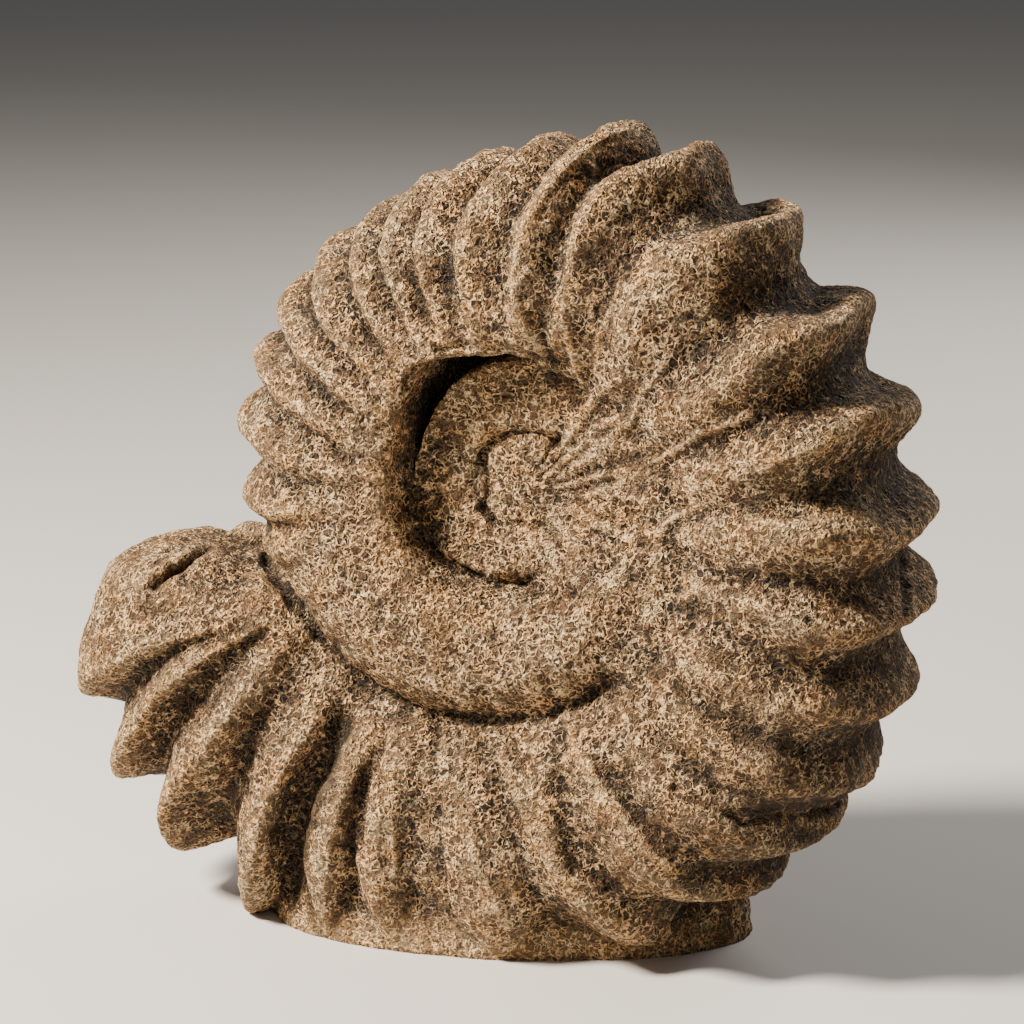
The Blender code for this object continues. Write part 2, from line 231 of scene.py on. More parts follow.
# ---- cut and raised lines ----
# lift (mm, below nought cuts in), half breadth, then the points it runs through (mm)
STROKES = (
    (-1.8, 2.4, (
        (17, -22, 194), (9, -22, 193), (4, -22, 190), (0, -22, 186), (-1, -22, 182), (1, -22, 178),
        (2, -22, 173), (-1, -22, 165), (2, -22, 161),
    )),
    (-1.4, 2.2, ((3, -22, 161), (10, -22, 160), (16, -22, 161))),
    (-1.6, 2, ((-2, -22, 186), (-4, -22, 181))),
    (-2.2, 1.9, ((84, -57, 79), (84, -57, 78))),
    (-2.4, 2.2, ((104, -55, 70), (109, -52, 66), (114, -47, 67))),
    (1.6, 4, ((103, -55, 74), (111, -51, 74))),
    (-2.6, 2, ((118, -40, 66), (123, -18, 62), (126, -2, 59), (127, 9, 58))),
    (-2.5, 2, ((142, -7, 195), (147, 0, 197))),
    (1.1, 2, (
        (27, -34, 222), (26, -43, 230), (24, -48, 238), (22, -50, 246), (21, -50, 253),
        (23, -50, 264), (26, -49, 274), (31, -45, 284), (35, -38, 291), (39, -27, 296),
        (44, -17, 300), (49, -7, 303),
    )),
    (0.9, 1.8, ((39, -48, 249), (39, -48, 240), (40, -43, 227), (40, -34, 216))),
    (0.9, 1.8, ((60, -45, 254), (56, -46, 245), (51, -44, 234), (48, -39, 220))),
    (1, 1.8, ((31, -25, 189), (34, -27, 195), (41, -30, 204), (44, -33, 210))),
    (0.9, 1.8, (
        (35, -28, 184), (41, -29, 188), (49, -32, 195), (60, -37, 203), (66, -43, 215),
        (75, -46, 226),
    )),
    (0.7, 1.6, ((42, -30, 174), (49, -31, 177), (55, -32, 180), (67, -36, 186))),
    (0.8, 1.6, ((21, -23, 159), (24, -26, 155), (30, -25, 149))),
    (0.8, 1.6, ((28, -26, 163), (32, -27, 157), (39, -30, 154))),
    (0.8, 1.6, ((34, -27, 169), (43, -30, 167), (50, -33, 163))),
    (1, 1.8, ((70, -37, 163), (73, -38, 167), (77, -38, 171), (84, -41, 174), (90, -44, 177))),
    (1.5, 2.6, (
        (38, -32, 89), (43, -40, 85), (50, -47, 79), (57, -52, 71), (63, -54, 66), (68, -55, 61),
        (74, -56, 54), (79, -55, 50), (83, -54, 47),
    )),
    (-1.8, 6, ((36, -46, 72), (41, -52, 63), (44, -54, 53), (48, -54, 44))),
    (-3.4, 2.9, (
        (-128, -38, 127), (-125, -33, 130), (-122, -27, 132), (-120, -20, 135), (-119, -12, 137),
    )),
    (1.6, 5.0, ((-131, -43, 128), (-128, -39, 134), (-125, -30, 137), (-121, -22, 140))),
    (-3.4, 4.0, (
        (-101, 2, 133), (-93, -9, 130), (-84, -20, 129), (-77, -26, 125), (-70, -28, 119),
        (-65, -28, 113), (-58, -28, 108),
    )),
    (-1.2, 1.8, ((-10, -48, 226), (0, -47, 228), (11, -45, 228), (21, -42, 226), (26, -37, 224))),
    (-3, 3.4, ((-18, -47, 217), (-19, -44, 211))),
    (-2, 2.6, ((146, 17, 149), (149, 3, 143), (155, -16, 139))),
    (-3.2, 7.5, ((-50, -37, 82), (-56, -43, 71), (-64, -46, 58), (-70, -44, 39), (-75, -34, 16))),
    (-1.4, 3, ((-39, -45, 66), (-40, -47, 57), (-39, -50, 40))),
    (-1.6, 3.5, ((-16, -30, 81), (-9, -45, 63), (-7, -49, 44), (-5, -48, 19))),
    (0.9, 2, ((-31, -34, 81), (-29, -44, 68), (-25, -52, 48), (-23, -54, 30))),
    (1, 2, ((-3, -31, 79), (0, -47, 64), (7, -55, 47), (14, -55, 30), (20, -50, 15))),
    (0.8, 1.8, ((12, -36, 77), (20, -45, 67), (32, -54, 52), (43, -56, 39))),
    (1.1, 1.8, (
        (107, -49, 211), (97, -49, 206), (89, -47, 203), (81, -44, 197), (71, -37, 191),
        (66, -35, 188),
    )),
    (1.1, 1.7, ((99, -49, 150), (91, -46, 148), (84, -42, 145), (80, -40, 142))),
    (0.4, 1.5, ((70, -37, 162), (70, -37, 154), (69, -37, 147), (67, -38, 140), (67, -39, 132))),
    (0.7, 2.0, ((143, -34, 207), (132, -48, 202), (123, -53, 199), (113, -53, 193))),
    (0.7, 2.2, ((146, -30, 176), (136, -48, 177), (124, -52, 175), (113, -51, 175), (103, -48, 177))),
)
STROKE_SQUASH = np.array((1.0, 0.6, 1.0))   # a distance along Y counts for less

# ---- the core that fills the coil's middle, and the foot ----
CORE_RADIUS = 0.0180
CORE_HALF_WIDTH = 0.0250
CORE_SHIFT = Vector((-0.001, 0.0, 0.004))
FOOT_HALF_LENGTH = 0.0915
FOOT_HALF_WIDTH = 0.0465
FOOT_SETBACK = 0.0030
FOOT_HEIGHT = 0.0230
FOOT_BELOW = 0.004          # extra depth under the floor, cut away once the skin is roughened
FOOT_TURN = math.radians(14.0)
FOOT_TOP_SHARE = 0.96       # the top's size as a share of the bottom's

# ---- mesh ----
GRID_SIDE = 2.0             # a flat grid from -1 to 1 before it is rolled up
MERGE = 1e-6
VOXEL = 0.0011
TRIANGLE_BUDGET = 192000
# name, size (m), octaves, how far it moves the skin between its lowest and highest (m)
ROUGHNESS = (
    ("broad lumps", 0.030, 2, 0.0030),
    ("knobs", 0.009, 2, 0.0014),
    ("grit", 0.0035, 1, 0.0011),
)

# ---- wear and painted shade ----
# rounds of smoothing that give the skin around a point, and how far (m) the point then has
# to stand out to count as fully worn, or lie in to count as fully in painted shade
WEAR_AND_SHADE_SCALES = ((6, 0.0006), (40, 0.0050), (160, 0.0100))
# mm: strokes cut deeper than the first are recesses given painted shade, deeper than the second
# deep gaps given the stronger painted shade; raised strokes narrower than the third are veins
HOLLOW_STROKE, DEEP_STROKE, VEIN_STROKE = -2, -3, 3
MARK_BLUR = 2

# ---- view and light ----
VIEW_AZIMUTH = math.radians(21.0)
VIEW_ELEVATION = math.radians(12.0)
VIEW_DISTANCE = 1.281
FILM_WIDTH = 36.0           # mm
LENS = 123.0                # mm
NEAREST_SEEN = 0.01
AIM_RIGHT = -0.0132         # metres from the coil's axis to the middle of the view
AIM_UP = -0.0125
# name, place (m), size (m), power (W), colour
LAMPS = (
    ("window", (-0.84, -0.76, 1.20), 0.34, 97.0, (1.0, 0.895, 0.77)),
    ("fill", (0.9, -1.3, 0.6), 1.2, 1.2, (1.0, 0.95, 0.9)),
    ("back fill", (0.50, 1.50, 1.10), 1.2, 22.0, (1.0, 0.95, 0.9)),
)
ROOM_COLOUR = (0.75, 0.78, 0.82, 1.0)
ROOM_STRENGTH = 0.12
FLOOR_SIZE = 40.0
FLOOR_COLOUR = (0.62, 0.60, 0.57, 1.0)
FLOOR_ROUGHNESS = 0.8

# ---- colours of the stone, from 0 to 255 as the eye reads them ----
BLACK_SKIN, BROWN_BLACK_SKIN = (6, 4, 2), (15, 9, 6)
DEEP_BROWN, WARM_BROWN = (42, 26, 15), (66, 43, 27)
QUIET_BROWN = (84, 60, 39)
EDGE_BROWN = (40, 26, 16)
RUST = (140, 88, 50)
CREAM_VEIN, PALE_VEIN = (255, 200, 136), (255, 221, 170)
# painted shade laid in recesses, cut strokes and the deep gap
RECESS_SHADE_BROWN = (24, 15, 9)
# painted shade on the lower right, partly a real stain, and on the side away from the light
SHADE_AND_STAIN_BROWN = (40, 28, 18)
PIT_BROWN = (30, 21, 16)
# where those colours change, in metres: round the middle of the coil, which is paler partly as
# painted light, and towards +X and +Z, where painted shade, partly a stain, darkens the lower right
# and the side away from the light
VEINED_AND_LIT_MIDDLE, VEINED_AND_LIT_MIDDLE_FADE = (0.015, -0.03, 0.1625), (0.065, 0.125)
SHADE_AND_STAIN_ACROSS, SHADE_AND_STAIN_UPWARD = (0.07, 0.14), (0.08, 0.16)
LEE_SHADE_ACROSS = (0.09, 0.16)
BUMP_DEPTH = 0.0020


# ------------------------------------------------------------------ tools
def let_go():
    """Deselect everything."""
    bpy.ops.object.select_all(action="DESELECT")


def pick(*items):
    """Select these objects only, with the first one active."""
    let_go()
    for item in items:
        item.select_set(True)
    bpy.context.view_layer.objects.active = items[0]


def points_of(item):
    flat = np.empty(len(item.data.vertices) * 3)
    item.data.vertices.foreach_get("co", flat)
    return flat.reshape(-1, 3)


def put_points(item, points):
    item.data.vertices.foreach_set("co", points.ravel())
    item.data.update()


def normals_of(item):
    flat = np.empty(len(item.data.vertices) * 3)
    item.data.vertices.foreach_get("normal", flat)
    return flat.reshape(-1, 3)


def settle(item, kind, **settings):
    """Add one modifier with its settings and apply it."""
    pick(item)
    step = item.modifiers.new(kind, kind)
    for name, value in settings.items():
        setattr(step, name, value)
    bpy.ops.object.modifier_apply(modifier=step.name)


def ramp(past, run):
    """How much of a run has been covered, from 0 to 1."""
    return np.clip(past / run, 0, 1)


# ------------------------------------------------------------------ coil
def along(turns, column):
    """One column of WHORL at each place along the coil, averaged over a short stretch."""
    total = np.zeros_like(turns)
    steps = np.linspace(-SECTION_BLUR, SECTION_BLUR, BLUR_STEPS)
    for step in steps:
        total += np.interp(turns + step, WHORL[:, 0], WHORL[:, column])
    return total / len(steps)


def all_ribs():
    """The ribs of the last whorl, then small even ones to the end of the coil."""
    inner = np.arange(
        RIBS[-1, 0] + INNER_RIB_GAP, WHORL[-1, 0] + RIBS_PAST_END, INNER_RIB_GAP)
    rest = np.tile(INNER_RIB, (len(inner), 1))
    return np.concatenate((RIBS, np.column_stack((inner, rest))))


def rib_height(turns, angle):
    """Share of the way up from valley to crest, and the strength of the rib."""
    ribs = all_ribs()
    round_share = np.abs(angle) / np.pi
    flank, seam = np.interp(turns, ribs[:, 0], ribs[:, 1]), np.interp(turns, ribs[:, 0], ribs[:, 2])
    bent = (round_share ** BEND_POWER + STRAIGHT_ON_KEEL ** BEND_POWER) ** (1 / BEND_POWER)
    sweep = (
        KEEL_SWEEP * (1 - round_share) * (1 - 2 * round_share)
        + flank * 4 * bent * (1 - bent)
        + seam * bent * (2 * bent - 1)
    )
    phase = np.interp(turns - sweep, ribs[:, 0], np.arange(len(ribs)))
    phase += sum(size * np.sin(waves * angle + turn * phase) for size, waves, turn in RIB_WAVES)
    past = phase - np.floor(phase)
    valley = np.interp(turns, VALLEY_AT[:, 0], VALLEY_AT[:, 1])
    fall = np.minimum(past / valley, (1 - past) / (1 - valley))
    nearest = np.rint(phase).astype(int).clip(0, len(ribs) - 1)
    on_keel = np.clip(np.cos(angle), 0, 1) ** 2
    wave = 0.5 + 0.5 * np.cos(np.pi * fall)
    facet = 1 - np.sqrt((FACET_REACH * fall) ** 2 + FACET_EASE) + math.sqrt(FACET_EASE)
    sharper = np.interp(turns, KEEL_CREST[:, 0], KEEL_CREST[:, 1])
    keel_rounded = np.interp(turns, KEEL_CREST[:, 0], KEEL_CREST[:, 2])
    rounded = FLANK_ROUNDED + on_keel * (keel_rounded - FLANK_ROUNDED)
    height = rounded * wave + (1 - rounded) * facet
    narrow = ribs[nearest, 3] * (1 + sharper * on_keel)
    strength = np.interp(phase, np.arange(len(ribs)), ribs[:, 4])
    return np.clip(height, 0, 1) ** narrow, strength


def roll_up(turns, angle):
    """Place points of the rolled shell: turns back from the mouth, angle round the whorl."""
    keel, seam, width, widest, squareness, keel_square = (along(turns, c) for c in range(1, 7))
    keel, seam, width = keel * MM, seam * MM, width * MM
    middle = seam + (keel - seam) * widest
    out, side = np.cos(angle), np.sin(angle)
    fullness = np.where(out >= 0, keel_square, squareness)
    size = (np.abs(out) ** fullness + np.abs(side) ** fullness) ** (1 / fullness)
    height, strength = rib_height(turns, angle)
    keel_depth = np.interp(turns, RIB_DEPTH[:, 0], RIB_DEPTH[:, 1])
    flank_depth = np.interp(turns, RIB_DEPTH[:, 0], RIB_DEPTH[:, 2])
    toward_keel = ramp(out - KEEL_CUT_FROM, KEEL_CUT_SPAN) ** KEEL_CUT_CURVE
    on_flank = ramp(out - FLANK_CUT_FROM, FLANK_CUT_SPAN)
    depth = (flank_depth * on_flank + (keel_depth - flank_depth) * toward_keel) * keel
    cut = (1 - height) * depth * strength
    out, side = out / size, side / size
    reach = np.where(
        out >= 0,
        middle + (keel - middle - cut) * out,
        middle + (middle - seam - INNER_WALL_CUT * cut) * out,
    )
    off = (width - cut) * side
    clear = np.interp(turns, GAP[:, 0], GAP[:, 1]) * MM
    lift = ramp(np.abs(off) / MM - GAP_FROM, GAP_FULL - GAP_FROM)
    reach = reach + lift * np.maximum(clear - reach, 0) * (out < 0)
    bearing = math.radians(MOUTH_BEARING) + 2 * np.pi * turns
    lip_step = np.interp(reach / MM, LIP_STEP[:, 0], LIP_STEP[:, 1])
    bearing += np.radians(lip_step) * ramp(LIP_STEP_TO - turns, LIP_STEP_SPAN)
    return np.stack((
        COIL_AXIS.x + reach * np.cos(bearing),
        -off,
        COIL_AXIS.z + reach * np.sin(bearing),
    ), axis=-1)


def ring_turns():
    """Turns back from the mouth at each ring of points, closer together on the last whorl."""
    last = np.linspace(WHORL[0, 0], LAST_WHORL_END, RINGS_LAST_WHORL, endpoint=False)
    inner = np.linspace(LAST_WHORL_END, WHORL[-1, 0], RINGS_INNER + 1)
    return np.concatenate((last, inner))


def make_coil():
    """A flat grid rolled up: one side runs back along the coil, the other round the whorl."""
    turns = ring_turns()
    let_go()
    bpy.ops.mesh.primitive_grid_add(
        x_subdivisions=len(turns) - 1, y_subdivisions=POINTS_ROUND, size=GRID_SIDE)
    coil = bpy.context.object
    flat = points_of(coil)
    column = np.rint((flat[:, 0] + 1) / 2 * (len(turns) - 1)).astype(int)
    angle = flat[:, 1] * np.pi
    put_points(coil, roll_up(turns[column], angle))
    bpy.ops.object.mode_set(mode="EDIT")
    bpy.ops.mesh.select_all(action="SELECT")
    bpy.ops.mesh.remove_doubles(threshold=MERGE)
    bpy.ops.mesh.fill_holes(sides=0)
    bpy.ops.mesh.select_all(action="SELECT")
    bpy.ops.mesh.normals_make_consistent(inside=False)
    bpy.ops.object.mode_set(mode="OBJECT")
    return coil


def fan_face(reach, bearing):
    """How far the fan's face stands out from the middle plane, in metres."""
    rise = np.interp(reach / MM, FAN_RISE[:, 0], FAN_RISE[:, 1])
    turn = (np.degrees(bearing) + 180.0) % 360.0 - 180.0
    inside = np.minimum(turn - FAN_FROM, FAN_TO - turn)
    sink = FAN_SINK * (1 - ramp(inside, FAN_FADE)) ** 2
    outer = ramp(reach / MM - FAN_DROP_REACH, FAN_DROP_RUN)
    below = ramp(FAN_DROP_BEARING - turn, FAN_DROP_TURN)
    return (rise - (sink + FAN_DROP * outer * below)) * MM


def make_fan():
    """The face on which the fine ribs stand: a sector of a disc, given a thickness."""
    let_go()
    bpy.ops.mesh.primitive_grid_add(
        x_subdivisions=FAN_RINGS, y_subdivisions=FAN_SPOKES, size=GRID_SIDE)
    fan = bpy.context.object
    flat = points_of(fan)
    reach = (flat[:, 0] + 1) / 2 * FAN_REACH * MM
    bearing = np.radians(FAN_FROM + (FAN_TO - FAN_FROM) * (flat[:, 1] + 1) / 2)
    put_points(fan, np.stack((
        COIL_AXIS.x + reach * np.cos(bearing),
        -fan_face(reach, bearing),
        COIL_AXIS.z + reach * np.sin(bearing),
    ), axis=-1))
    bpy.ops.object.mode_set(mode="EDIT")
    bpy.ops.mesh.select_all(action="SELECT")
    bpy.ops.mesh.remove_doubles(threshold=MERGE)
    bpy.ops.mesh.select_all(action="SELECT")
    bpy.ops.mesh.extrude_region_move(TRANSFORM_OT_translate={"value": (0, FAN_THICKNESS, 0)})
    bpy.ops.mesh.select_all(action="SELECT")
    bpy.ops.mesh.normals_make_consistent(inside=False)
    bpy.ops.object.mode_set(mode="OBJECT")
    return fan


def make_core():
    """A short round bar that fills the innermost turns."""
    let_go()
    bpy.ops.mesh.primitive_cylinder_add(
        vertices=64, radius=CORE_RADIUS, depth=2 * CORE_HALF_WIDTH,
        location=COIL_AXIS + CORE_SHIFT, rotation=(math.radians(90), 0, 0))
    core = bpy.context.object
    bpy.ops.object.transform_apply(location=True, rotation=True, scale=True)
    return core


def make_lump():
    let_go()
    bpy.ops.mesh.primitive_uv_sphere_add(segments=32, ring_count=16, radius=1.0, location=LUMP_PLACE)
    lump = bpy.context.object
    lump.scale = LUMP_SIZE
    bpy.ops.object.transform_apply(location=True, rotation=True, scale=True)
    return lump


def make_foot():
    """A low oval foot, a little smaller at its top."""
    let_go()
    bpy.ops.mesh.primitive_cylinder_add(
        vertices=96, radius=1.0, depth=FOOT_HEIGHT + FOOT_BELOW,
        location=(0.0, FOOT_SETBACK, FOOT_HEIGHT / 2 - FOOT_BELOW / 2), rotation=(0, 0, FOOT_TURN))
    foot = bpy.context.object
    foot.scale = (FOOT_HALF_LENGTH, FOOT_HALF_WIDTH, 1.0)
    bpy.ops.object.transform_apply(location=True, rotation=True, scale=True)
    points = points_of(foot)
    top = points[:, 2] > FOOT_HEIGHT / 2
    points[top, :2] *= FOOT_TOP_SHARE
    put_points(foot, points)
    return foot


def soften_creases(stone):
    """Blend the inner turns into one face on the side where the fan closes them."""
    points = points_of(stone)
    across = points - np.array(COIL_AXIS)
    reach = np.hypot(across[:, 0], across[:, 2])
    turn = np.degrees(np.arctan2(across[:, 2], across[:, 0]))
    near = ramp(SOFTEN_REACH - reach, SOFTEN_FADE)
    near *= ramp(SOFTEN_HALF - np.abs(turn - SOFTEN_BEARING), SOFTEN_TURN)
    outer = ramp(reach - CREASE_REACH, CREASE_RUN)
    near *= 1 - outer * ramp(CREASE_BEARING - turn, CREASE_TURN)
    group = stone.vertex_groups.new(name="soft")
    for level in range(1, SOFTEN_LEVELS + 1):
        chosen = np.flatnonzero(np.rint(near * SOFTEN_LEVELS) == level)
        group.add(chosen.tolist(), level / SOFTEN_LEVELS, "REPLACE")
    settle(stone, "SMOOTH", factor=0.5, iterations=SOFTEN_STEPS, vertex_group="soft")
    stone.vertex_groups.clear()


def around_axis(points):
    """Reach from the coil's axis in mm, bearing in degrees, and height off the middle plane."""
    across = points - np.array(COIL_AXIS)
    reach = np.hypot(across[:, 0], across[:, 2]) / MM
    return reach, np.degrees(np.arctan2(across[:, 2], across[:, 0])), across[:, 1] / MM


def raise_fan_ribs(stone):
    """Fine sharp ribs that spread from the middle of the coil and run out into the broad ones."""
    points, normals = points_of(stone), normals_of(stone)
    reach, turn, off = around_axis(points)
    bent = turn.copy()
    for size, outward, onward in FAN_RIB_WAVES:
        bent += size * np.sin(reach / outward + turn / onward)
    phase = np.interp(bent, FAN_RIBS[:, 0], np.arange(len(FAN_RIBS)))
    far = np.interp(bent, FAN_RIBS[:, 0], FAN_RIBS[:, 1])
    uneven, wave, start = FAN_RIB_UNEVEN
    ridge = (0.5 + 0.5 * np.cos(2 * np.pi * phase)) ** FAN_RIB_SHARPNESS
    ridge *= 1 + uneven * np.sin(np.round(phase) * wave + start)
    past_end = FAN_TO + FAN_RIB_PAST_END
    place = ramp(reach - FAN_RIB_FROM, FAN_RIB_RUN_IN) * ramp(far - reach, FAN_RIB_RUN_OUT)
    place *= ramp(past_end - turn, FAN_RIB_END_FADE) * ramp(turn - FAN_FROM, FAN_RIB_END_FADE)
    place *= off < FAN_RIB_OFF
    lift = FAN_RIB_HEIGHT * MM * (ridge - FAN_RIB_FLOOR) * place
    put_points(stone, points + normals * lift[:, None])


def rim_gap(points):
    """How surely each point lies in the gap between the inner disc's rim and the last whorl."""
    reach, turn, off = around_axis(points)
    turns = (turn - MOUTH_BEARING) / 360.0 % 1.0 + 1.0
    turns = np.where(turns < GROOVE_FIRST_TURN, turns + 1.0, turns)
    rim = np.interp(turns, RIM[:, 0], RIM[:, 1])
    clear = np.maximum(np.interp(turns - 1.0, GAP[:, 0], GAP[:, 1]), rim + GROOVE_BREADTH)
    inside = ramp(turns - GROOVE_FROM, GROOVE_FROM_RUN) * ramp(GROOVE_TO - turns, GROOVE_TO_RUN)
    band = ramp(reach - rim + GROOVE_INSIDE, GROOVE_RIM_RUN) * ramp(clear - reach, GROOVE_FAR_RUN)
    return band * ramp(off - GROOVE_OFF, GROOVE_OFF_RUN) * (off < GROOVE_LEVEL) * inside


def deepen_rim(stone):
    """Sink the floor of the gap round the inner disc."""
    points = points_of(stone)
    points[:, 1] += RIM_GROOVE * MM * rim_gap(points)
    put_points(stone, points)


def under_stroke(points, breadth, path):
    """Which points lie near a drawn path, and how fully each lies under it."""
    path, breadth = np.array(path) * MM, breadth * MM
    path = np.array([points[np.argmin(np.sum((points - spot) ** 2, axis=1))] for spot in path])
    low, high = path.min(axis=0) - 2 * breadth, path.max(axis=0) + 2 * breadth
    near = np.flatnonzero(np.all((points > low) & (points < high), axis=1))
    away = np.full(len(near), np.inf)
    for start, end in zip(path[:-1], path[1:]):
        line = end - start
        share = ramp((points[near] - start) @ line, line @ line)
        gap = (points[near] - start - share[:, None] * line) * STROKE_SQUASH
        away = np.minimum(away, np.sqrt(np.sum(gap ** 2, axis=1)))
    ease = np.clip(1 - away / breadth, 0, 1)
    return near, ease * ease * (3 - 2 * ease)


def draw_strokes(stone):
    """Cut or raise a soft-edged line along each drawn path."""
    points, normals = points_of(stone), normals_of(stone)
    for lift, breadth, path in STROKES:
        near, ease = under_stroke(points, breadth, path)
        points[near] += normals[near] * (lift * MM * ease)[:, None]
    put_points(stone, points)


def roughen(stone):
    """Broad lumps, then knobs, then small pits, pushed in and out of the skin."""
    for name, size, depth, strength in ROUGHNESS:
        pattern = bpy.data.textures.new(name, "CLOUDS")
        pattern.noise_scale = size
        pattern.noise_depth = depth
        settle(
            stone, "DISPLACE", texture=pattern, texture_coords="LOCAL",
            strength=strength, mid_level=0.5)


def make_stone():
    """Join the pieces in one skin, carve and roughen it, and cut it flat at the floor."""
    pick(make_coil(), make_core(), make_fan(), make_lump(), make_foot())
    bpy.ops.object.join()
    stone = bpy.context.object
    stone.name = "shell_stone"
    stone.data.name = "shell_stone"
    settle(stone, "REMESH", mode="VOXEL", voxel_size=VOXEL)
    settle(stone, "SMOOTH", factor=0.5, iterations=2)
    soften_creases(stone)
    raise_fan_ribs(stone)
    deepen_rim(stone)
    draw_strokes(stone)
    roughen(stone)
    pick(stone)
    bpy.ops.object.mode_set(mode="EDIT")
    bpy.ops.mesh.select_all(action="SELECT")
    bpy.ops.mesh.bisect(plane_co=(0, 0, 0), plane_no=(0, 0, 1), clear_inner=True, use_fill=True)
    bpy.ops.object.mode_set(mode="OBJECT")
    settle(stone, "TRIANGULATE")
    share = TRIANGLE_BUDGET / len(stone.data.polygons)
    if share < 1:
        settle(stone, "DECIMATE", ratio=share)
    pick(stone)
    bpy.ops.object.shade_smooth()
    return stone


# ------------------------------------------------------------------ stage
def point_at(item, place, aim):
    """Put a camera or a lamp at its place, looking at its aim."""
    item.location = place
    item.rotation_euler = (Vector(aim) - Vector(place)).to_track_quat("-Z", "Y").to_euler()


def make_camera():
    out = Vector((
        math.sin(VIEW_AZIMUTH) * math.cos(VIEW_ELEVATION),
        -math.cos(VIEW_AZIMUTH) * math.cos(VIEW_ELEVATION),
        math.sin(VIEW_ELEVATION),
    ))
    right = Vector((math.cos(VIEW_AZIMUTH), math.sin(VIEW_AZIMUTH), 0.0))
    up = out.cross(right)
    film = bpy.data.cameras.new("camera")
    film.sensor_width = FILM_WIDTH
    film.lens = LENS
    film.clip_start = NEAREST_SEEN
    camera = bpy.data.objects.new("camera", film)
    bpy.context.scene.collection.objects.link(camera)
    point_at(camera, COIL_AXIS + out * VIEW_DISTANCE, COIL_AXIS + right * AIM_RIGHT + up * AIM_UP)
    bpy.context.scene.camera = camera


def round_lamp(name, place, size, power, colour):
    lamp = bpy.data.lights.new(name, "AREA")
    lamp.shape = "DISK"
    lamp.size = size
    lamp.energy = power
    lamp.color = colour
    item = bpy.data.objects.new(name, lamp)
    bpy.context.scene.collection.objects.link(item)
    point_at(item, place, COIL_AXIS)


def make_floor():
    let_go()
    bpy.ops.mesh.primitive_plane_add(size=FLOOR_SIZE, location=(0, 0, 0))
    floor = bpy.context.object
    floor.name = "floor"
    paint = bpy.data.materials.new("pale floor")
    paint.use_nodes = True
    shader = paint.node_tree.nodes["Principled BSDF"]
    shader.inputs["Base Color"].default_value = FLOOR_COLOUR
    shader.inputs["Roughness"].default_value = FLOOR_ROUGHNESS
    floor.data.materials.append(paint)


def make_light():
    world = bpy.data.worlds.new("soft room")
    bpy.context.scene.world = world
    world.use_nodes = True
    room = world.node_tree.nodes["Background"]
    room.inputs["Color"].default_value = ROOM_COLOUR
    room.inputs["Strength"].default_value = ROOM_STRENGTH
    for lamp in LAMPS:
        round_lamp(*lamp)


# ------------------------------------------------------------------ finish
def linear(part):
    """One part of a colour, from 0 to 255 as the eye reads it, on the shader's linear scale."""
    share = part / 255
    return share / 12.92 if share < 0.04045 else ((share + 0.055) / 1.055) ** 2.4


def tint(colour):
    return tuple(linear(part) for part in colour) + (1.0,)


class Feed:
    """One output socket that takes part in sums."""

    def __init__(self, bench, socket):
        self.bench = bench
        self.socket = socket

    def sum(self, operation, *values, clamp=False):
        return self.bench.node(
            "ShaderNodeMath", {"operation": operation, "use_clamp": clamp}, dict(enumerate(values)))

    def __add__(self, other):
        return self.sum("ADD", self, other)

    def __radd__(self, other):
        return self.sum("ADD", other, self)

    def __sub__(self, other):
        return self.sum("SUBTRACT", self, other)

    def __rsub__(self, other):
        return self.sum("SUBTRACT", other, self)

    def __mul__(self, other):
        return self.sum("MULTIPLY", self, other)

    def __rmul__(self, other):
        return self.sum("MULTIPLY", other, self)

    def __abs__(self):
        return self.sum("ABSOLUTE", self)

    def held(self):
        """Kept between 0 and 1."""
        return self.sum("ADD", self, 0.0, clamp=True)

    def or_more(self, other):
        return self.sum("MAXIMUM", self, other)


class Bench:
    """Lays nodes out in one material."""

    def __init__(self, look):
        look.use_nodes = True
        self.tree = look.node_tree
        self.shader = self.tree.nodes["Principled BSDF"]

    def link(self, value, socket):
        if isinstance(value, Feed):
            self.tree.links.new(value.socket, socket)
        else:
            socket.default_value = value

    def node(self, kind, settings, inputs, output=0):
        """Add one node: its type, its settings, then the values or links of its sockets."""
        item = self.tree.nodes.new(kind)
        for name, value in settings.items():
            setattr(item, name, value)
        for name, value in inputs.items():
            self.link(value, item.inputs[name])
        return Feed(self, item.outputs[output])

    def place(self):
        return self.node("ShaderNodeTexCoord", {}, {}, "Object")

    def worth(self, name):
        """A value that the mesh carries on its points."""
        return self.node("ShaderNodeAttribute", {"attribute_name": name}, {}, "Fac")

    def noise(self, where, scale, detail=2.0, rough=0.5, distort=0.0, output="Fac"):
        return self.node("ShaderNodeTexNoise", {}, {
            "Vector": where, "Scale": scale, "Detail": detail,
            "Roughness": rough, "Distortion": distort,
        }, output)

    def cells(self, where, scale, **settings):
        return self.node(
            "ShaderNodeTexVoronoi", settings, {"Vector": where, "Scale": scale}, "Distance")

    def mix(self, share, first, second):
        return self.node("ShaderNodeMix", {"data_type": "RGBA"}, {0: share, 6: first, 7: second}, 2)

    def vector(self, operation, inputs, output=0):
        return self.node("ShaderNodeVectorMath", {"operation": operation}, inputs, output)

    def shift(self, where, offset, size):
        """A place moved by a coloured pattern, up to half the size either way."""
        away = self.vector("SUBTRACT", {0: offset, 1: (0.5, 0.5, 0.5)})
        away = self.vector("SCALE", {0: away, "Scale": size})
        return self.vector("ADD", {0: where, 1: away})

    def part(self, where, number):
        return self.node("ShaderNodeSeparateXYZ", {}, {0: where}, number)

    def step(self, value, low, high):
        """0 below low, 1 above high, with a smooth rise between."""
        return self.node("ShaderNodeMapRange", {"interpolation_type": "SMOOTHSTEP"}, {
            "Value": value, "From Min": low, "From Max": high,
        })

    def ridge(self, value, core, edge):
        """A bright line wherever the value crosses its middle, full out to core, gone at edge."""
        return 1.0 - self.step(abs(value - 0.5), core, edge)


